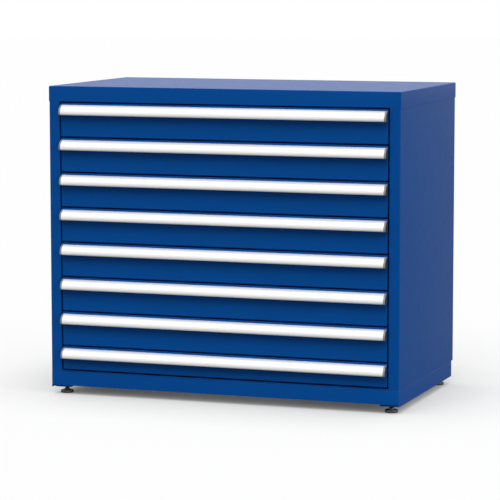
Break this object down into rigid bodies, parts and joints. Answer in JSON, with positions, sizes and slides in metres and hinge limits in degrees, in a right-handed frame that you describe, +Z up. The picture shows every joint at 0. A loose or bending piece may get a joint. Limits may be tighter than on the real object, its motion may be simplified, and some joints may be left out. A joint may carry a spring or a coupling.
{
  "type": "microfilm storage cabinet",
  "caption": "Wide steel cabinet of full-width drawers with hooded pulls for boxed microfilm, on a low base frame with levelling feet.",
  "frame": {"origin": "on the floor, under the middle of the cabinet's bounding box", "axes": "+X to the right seen from the front, +Y to the rear, +Z up; the drawers open towards -Y"},
  "size_m": [1.2216, 0.6952, 1.0387],
  "materials": {
    "blue_powder_coat": "satin powder coat, fine even texture",
    "satin_aluminium": "satin anodised extrusion",
    "zinc_plated_steel": "bright zinc plated sheet",
    "black_levelling_foot": "moulded black pad on a blackened steel stem"
  },
  "bodies": {
    "cabinet": {"top_cap": "blue_powder_coat", "left_side_panel": "blue_powder_coat", "right_side_panel": "blue_powder_coat", "back_panel": "blue_powder_coat", "bottom_pan": "blue_powder_coat", "base_frame": "blue_powder_coat", "left_runner_frame": "zinc_plated_steel", "right_runner_frame": "zinc_plated_steel"},
    "front_left_foot": {"front_left_foot": "black_levelling_foot"},
    "front_right_foot": {"front_right_foot": "black_levelling_foot"},
    "rear_left_foot": {"rear_left_foot": "black_levelling_foot"},
    "rear_right_foot": {"rear_right_foot": "black_levelling_foot"},
    "drawer_1": {"drawer_1_front": "blue_powder_coat", "drawer_1_box": "blue_powder_coat", "drawer_1_pull": "satin_aluminium", "drawer_1_partition": "zinc_plated_steel"},
    "drawer_1_slides": {"drawer_1_left_slide": "zinc_plated_steel", "drawer_1_right_slide": "zinc_plated_steel"},
    "drawer_2": {"drawer_2_front": "blue_powder_coat", "drawer_2_box": "blue_powder_coat", "drawer_2_pull": "satin_aluminium", "drawer_2_partition": "zinc_plated_steel"},
    "drawer_2_slides": {"drawer_2_left_slide": "zinc_plated_steel", "drawer_2_right_slide": "zinc_plated_steel"},
    "drawer_3": {"drawer_3_front": "blue_powder_coat", "drawer_3_box": "blue_powder_coat", "drawer_3_pull": "satin_aluminium", "drawer_3_partition": "zinc_plated_steel"},
    "drawer_3_slides": {"drawer_3_left_slide": "zinc_plated_steel", "drawer_3_right_slide": "zinc_plated_steel"},
    "drawer_4": {"drawer_4_front": "blue_powder_coat", "drawer_4_box": "blue_powder_coat", "drawer_4_pull": "satin_aluminium", "drawer_4_partition": "zinc_plated_steel"},
    "drawer_4_slides": {"drawer_4_left_slide": "zinc_plated_steel", "drawer_4_right_slide": "zinc_plated_steel"},
    "drawer_5": {"drawer_5_front": "blue_powder_coat", "drawer_5_box": "blue_powder_coat", "drawer_5_pull": "satin_aluminium", "drawer_5_partition": "zinc_plated_steel"},
    "drawer_5_slides": {"drawer_5_left_slide": "zinc_plated_steel", "drawer_5_right_slide": "zinc_plated_steel"},
    "drawer_6": {"drawer_6_front": "blue_powder_coat", "drawer_6_box": "blue_powder_coat", "drawer_6_pull": "satin_aluminium", "drawer_6_partition": "zinc_plated_steel"},
    "drawer_6_slides": {"drawer_6_left_slide": "zinc_plated_steel", "drawer_6_right_slide": "zinc_plated_steel"},
    "drawer_7": {"drawer_7_front": "blue_powder_coat", "drawer_7_box": "blue_powder_coat", "drawer_7_pull": "satin_aluminium", "drawer_7_partition": "zinc_plated_steel"},
    "drawer_7_slides": {"drawer_7_left_slide": "zinc_plated_steel", "drawer_7_right_slide": "zinc_plated_steel"},
    "drawer_8": {"drawer_8_front": "blue_powder_coat", "drawer_8_box": "blue_powder_coat", "drawer_8_pull": "satin_aluminium", "drawer_8_partition": "zinc_plated_steel"},
    "drawer_8_slides": {"drawer_8_left_slide": "zinc_plated_steel", "drawer_8_right_slide": "zinc_plated_steel"}
  },
  "joints": [
    {"name": "drawer_1_run", "type": "slide", "parent": "cabinet", "child": "drawer_1", "axis": [0, -1, 0], "range_m": [0, 0.58]},
    {"name": "drawer_1_slides_run", "type": "slide", "parent": "cabinet", "child": "drawer_1_slides", "axis": [0, -1, 0], "range_m": [0, 0.29]},
    {"name": "drawer_2_run", "type": "slide", "parent": "cabinet", "child": "drawer_2", "axis": [0, -1, 0], "range_m": [0, 0.58]},
    {"name": "drawer_2_slides_run", "type": "slide", "parent": "cabinet", "child": "drawer_2_slides", "axis": [0, -1, 0], "range_m": [0, 0.29]},
    {"name": "drawer_3_run", "type": "slide", "parent": "cabinet", "child": "drawer_3", "axis": [0, -1, 0], "range_m": [0, 0.58]},
    {"name": "drawer_3_slides_run", "type": "slide", "parent": "cabinet", "child": "drawer_3_slides", "axis": [0, -1, 0], "range_m": [0, 0.29]},
    {"name": "drawer_4_run", "type": "slide", "parent": "cabinet", "child": "drawer_4", "axis": [0, -1, 0], "range_m": [0, 0.58]},
    {"name": "drawer_4_slides_run", "type": "slide", "parent": "cabinet", "child": "drawer_4_slides", "axis": [0, -1, 0], "range_m": [0, 0.29]},
    {"name": "drawer_5_run", "type": "slide", "parent": "cabinet", "child": "drawer_5", "axis": [0, -1, 0], "range_m": [0, 0.58]},
    {"name": "drawer_5_slides_run", "type": "slide", "parent": "cabinet", "child": "drawer_5_slides", "axis": [0, -1, 0], "range_m": [0, 0.29]},
    {"name": "drawer_6_run", "type": "slide", "parent": "cabinet", "child": "drawer_6", "axis": [0, -1, 0], "range_m": [0, 0.58]},
    {"name": "drawer_6_slides_run", "type": "slide", "parent": "cabinet", "child": "drawer_6_slides", "axis": [0, -1, 0], "range_m": [0, 0.29]},
    {"name": "drawer_7_run", "type": "slide", "parent": "cabinet", "child": "drawer_7", "axis": [0, -1, 0], "range_m": [0, 0.58]},
    {"name": "drawer_7_slides_run", "type": "slide", "parent": "cabinet", "child": "drawer_7_slides", "axis": [0, -1, 0], "range_m": [0, 0.29]},
    {"name": "drawer_8_run", "type": "slide", "parent": "cabinet", "child": "drawer_8", "axis": [0, -1, 0], "range_m": [0, 0.58]},
    {"name": "drawer_8_slides_run", "type": "slide", "parent": "cabinet", "child": "drawer_8_slides", "axis": [0, -1, 0], "range_m": [0, 0.29]},
    {"name": "front_left_foot_screw", "type": "slide", "parent": "cabinet", "child": "front_left_foot", "axis": [0, 0, -1], "range_m": [-0.008, 0.012]},
    {"name": "front_right_foot_screw", "type": "slide", "parent": "cabinet", "child": "front_right_foot", "axis": [0, 0, -1], "range_m": [-0.008, 0.012]},
    {"name": "rear_left_foot_screw", "type": "slide", "parent": "cabinet", "child": "rear_left_foot", "axis": [0, 0, -1], "range_m": [-0.008, 0.012]},
    {"name": "rear_right_foot_screw", "type": "slide", "parent": "cabinet", "child": "rear_right_foot", "axis": [0, 0, -1], "range_m": [-0.008, 0.012]}
  ],
  "couplings": [
    {"joint": "drawer_1_slides_run", "follows": "drawer_1_run", "ratio": 0.5},
    {"joint": "drawer_2_slides_run", "follows": "drawer_2_run", "ratio": 0.5},
    {"joint": "drawer_3_slides_run", "follows": "drawer_3_run", "ratio": 0.5},
    {"joint": "drawer_4_slides_run", "follows": "drawer_4_run", "ratio": 0.5},
    {"joint": "drawer_5_slides_run", "follows": "drawer_5_run", "ratio": 0.5},
    {"joint": "drawer_6_slides_run", "follows": "drawer_6_run", "ratio": 0.5},
    {"joint": "drawer_7_slides_run", "follows": "drawer_7_run", "ratio": 0.5},
    {"joint": "drawer_8_slides_run", "follows": "drawer_8_run", "ratio": 0.5}
  ]
}
